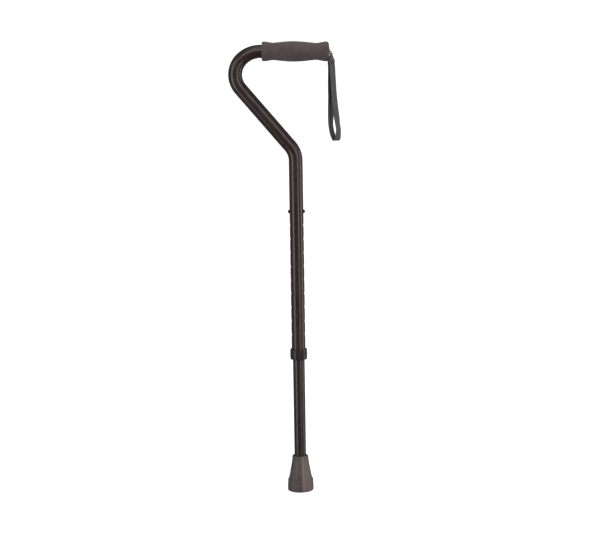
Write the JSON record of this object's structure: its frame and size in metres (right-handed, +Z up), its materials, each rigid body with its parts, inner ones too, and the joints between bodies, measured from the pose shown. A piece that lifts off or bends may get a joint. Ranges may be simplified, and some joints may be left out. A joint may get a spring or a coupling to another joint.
{
  "type": "single point cane",
  "caption": "Offset handle walking cane with foam grip, push-button telescoping shaft, lock ring, rubber tip and wrist strap.",
  "frame": {"origin": "middle of the foam grip's axis where it crosses the shaft's axis, which is where the hand holds the cane", "axes": "+Z up along the shaft, +X along the grip away from the handle bend, +Y to the side"},
  "size_m": [0.1769, 0.042, 0.7238],
  "materials": {
    "foam": "matte closed-cell foam",
    "black_tube": "black anodised satin",
    "black_plastic": "moulded satin",
    "button_black": "black plated",
    "inner_steel": "plain plated steel",
    "tip_rubber": "matte moulded rubber",
    "webbing": "woven polyester",
    "cord": "braided elastic cord"
  },
  "bodies": {
    "handle": {"upper_tube": "black_tube", "foam_grip": "foam", "grip_plug": "black_plastic", "collet_sleeve": "black_plastic"},
    "lock_ring": {"lock_ring": "black_plastic"},
    "shaft": {"lower_tube": "black_tube", "snap_spring": "inner_steel", "rubber_tip": "tip_rubber", "tip_washer": "inner_steel"},
    "button_right": {"button_right": "button_black"},
    "button_left": {"button_left": "button_black"},
    "strap_knot": {"strap_knot": "cord"},
    "strap": {"strap_cord": "cord", "wrist_strap": "webbing"}
  },
  "joints": [
    {"name": "height_adjust", "type": "slide", "parent": "handle", "child": "shaft", "axis": [0, 0, -1], "range_m": [0, 0.132]},
    {"name": "lock_ring_turn", "type": "hinge", "parent": "handle", "child": "lock_ring", "pos_m": [0, 0, -0.482], "axis": [0, 0, 1], "range_deg": [0, 180]},
    {"name": "button_right_press", "type": "slide", "parent": "shaft", "child": "button_right", "axis": [-1, 0, 0], "range_m": [0, 0.0042], "stiffness_N_per_m": 2000, "springref_m": -0.003, "deforming": ["snap_spring"]},
    {"name": "button_left_press", "type": "slide", "parent": "shaft", "child": "button_left", "axis": [1, 0, 0], "range_m": [0, 0.0042], "stiffness_N_per_m": 2000, "springref_m": -0.003, "deforming": ["snap_spring"]},
    {"name": "strap_sway", "type": "hinge", "parent": "handle", "child": "strap_knot", "pos_m": [0.0569, 0, -0.00086], "axis": [1, 0, 0], "range_deg": [-50, 50]},
    {"name": "strap_swing", "type": "hinge", "parent": "strap_knot", "child": "strap", "pos_m": [0.0569, 0, -0.00086], "axis": [0, -1, 0], "range_deg": [0, 75]}
  ]
}
